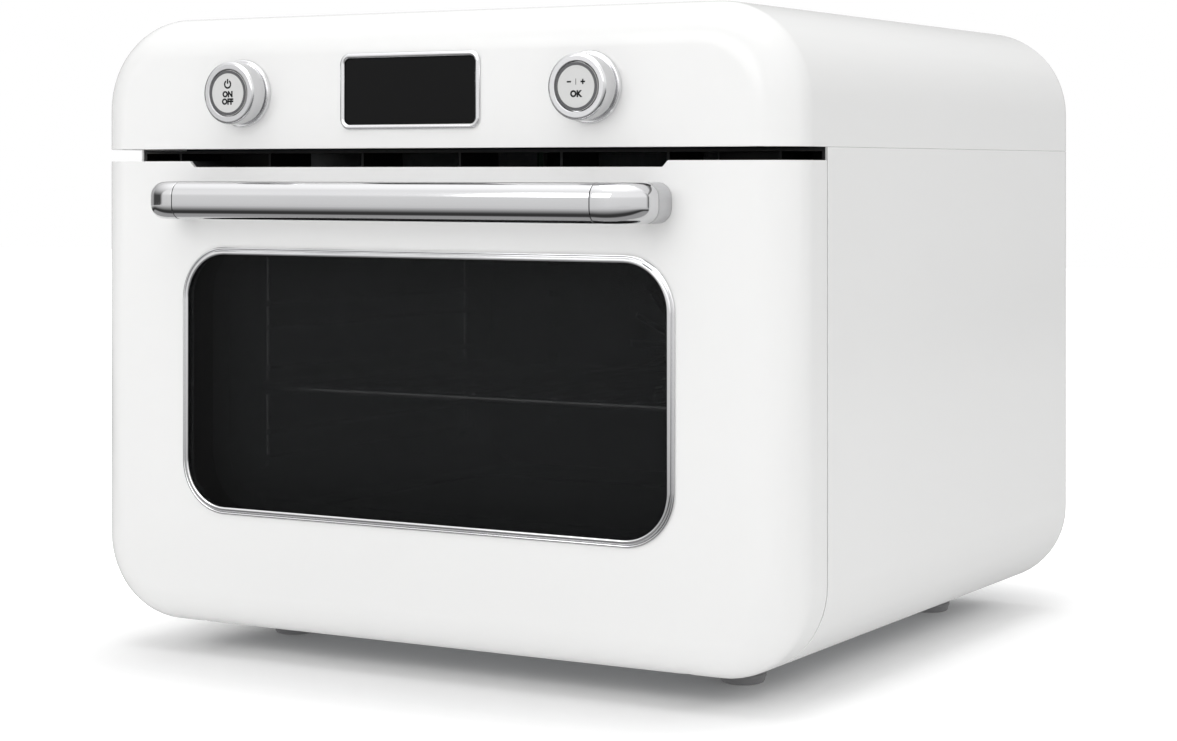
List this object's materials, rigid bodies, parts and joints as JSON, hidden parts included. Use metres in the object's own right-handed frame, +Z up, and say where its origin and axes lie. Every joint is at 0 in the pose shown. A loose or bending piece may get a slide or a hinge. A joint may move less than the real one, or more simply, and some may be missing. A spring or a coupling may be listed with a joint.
{
  "type": "countertop steam oven",
  "caption": "White countertop steam oven with rounded corners, a drop-down glazed door with a bar handle, a display and push-and-turn knobs.",
  "frame": {"origin": "under the middle of the oven's overall depth and width, at the level of the foot bottoms", "axes": "+X to the right seen from the front, +Y from the door to the back, +Z up"},
  "size_m": [0.48, 0.482, 0.389],
  "materials": {
    "enamel": "gloss white enamel",
    "black_steel": "satin black enamel",
    "black_plastic": "matt moulded",
    "chrome": "polished",
    "satin_metal": "satin cast",
    "dark_glass": "black tinted",
    "clear_glass": "clear",
    "galvanised": "zinc-coated sheet",
    "cavity_steel": "grey enamelled steel",
    "wire_chrome": "bright wire",
    "element": "dark oxidised tube",
    "wool": "glass-wool blanket",
    "rubber": "matt",
    "silicone": "translucent tube",
    "clear_plastic": "clear moulded",
    "circuit": "printed board",
    "white_plastic": "satin moulded"
  },
  "bodies": {
    "case": {"hood_cover": "enamel", "left_side_panel": "enamel", "right_side_panel": "enamel", "base_plate": "galvanised", "rear_panel": "galvanised", "deck_plate": "galvanised", "fan_motor": "galvanised", "lamp_housing": "galvanised", "blower_housing": "galvanised", "air_duct": "galvanised", "left_hinge_arm": "galvanised", "right_hinge_arm": "galvanised", "front_frame": "black_steel", "vent_grille": "black_plastic", "cable_gland": "black_plastic", "tank_lid": "black_plastic", "left_encoder": "black_plastic", "right_encoder": "black_plastic", "front_left_foot": "rubber", "front_right_foot": "rubber", "rear_left_foot": "rubber", "rear_right_foot": "rubber", "door_seal": "rubber", "cavity_liner": "cavity_steel", "fan_cover": "cavity_steel", "insulation": "wool", "steam_boiler": "satin_metal", "ring_element": "element", "grill_element": "element", "lower_element": "element", "wire_rack": "wire_chrome", "left_rack_support": "wire_chrome", "right_rack_support": "wire_chrome", "lamp_lens": "clear_glass", "water_tank": "clear_plastic", "water_pump": "white_plastic", "water_hose": "silicone", "steam_pipe": "silicone", "power_board": "circuit", "display_board": "circuit", "display_bezel": "chrome", "left_knob_flange": "chrome", "right_knob_flange": "chrome", "display_glass": "dark_glass"},
    "door": {"door_skin": "enamel", "door_liner": "black_steel", "window_trim": "chrome", "outer_glass": "dark_glass", "inner_glass": "clear_glass", "handle_bar": "chrome", "left_handle_end": "satin_metal", "right_handle_end": "satin_metal", "left_hinge_pin": "galvanised", "right_hinge_pin": "galvanised"},
    "left_knob": {"left_knob_ring": "chrome"},
    "right_knob": {"right_knob_ring": "chrome"},
    "left_button": {"left_knob_button": "white_plastic"},
    "right_button": {"right_knob_button": "white_plastic"},
    "oven_fan": {"convection_fan": "satin_metal"},
    "cooling_rotor": {"blower_rotor": "black_plastic"}
  },
  "joints": [
    {"name": "door_hinge", "type": "hinge", "parent": "case", "child": "door", "pos_m": [0, -0.187, 0.031], "axis": [1, 0, 0], "range_deg": [0, 84]},
    {"name": "left_knob_turn", "type": "hinge", "parent": "case", "child": "left_knob", "pos_m": [-0.124, -0.21, 0.3418], "axis": [0, 1, 0], "continuous": true},
    {"name": "right_knob_turn", "type": "hinge", "parent": "case", "child": "right_knob", "pos_m": [0.116, -0.21, 0.3418], "axis": [0, 1, 0], "continuous": true},
    {"name": "left_button_press", "type": "slide", "parent": "case", "child": "left_button", "axis": [0, 1, 0], "range_m": [0, 0.0018], "stiffness_N_per_m": 600, "springref_m": -0.001},
    {"name": "right_button_press", "type": "slide", "parent": "case", "child": "right_button", "axis": [0, 1, 0], "range_m": [0, 0.0018], "stiffness_N_per_m": 600, "springref_m": -0.001},
    {"name": "oven_fan_spin", "type": "hinge", "parent": "case", "child": "oven_fan", "pos_m": [0, 0.1521, 0.175], "axis": [0, 1, 0], "continuous": true},
    {"name": "cooling_rotor_spin", "type": "hinge", "parent": "case", "child": "cooling_rotor", "pos_m": [0, 0.109, 0.303], "axis": [0, 0, 1], "continuous": true}
  ]
}
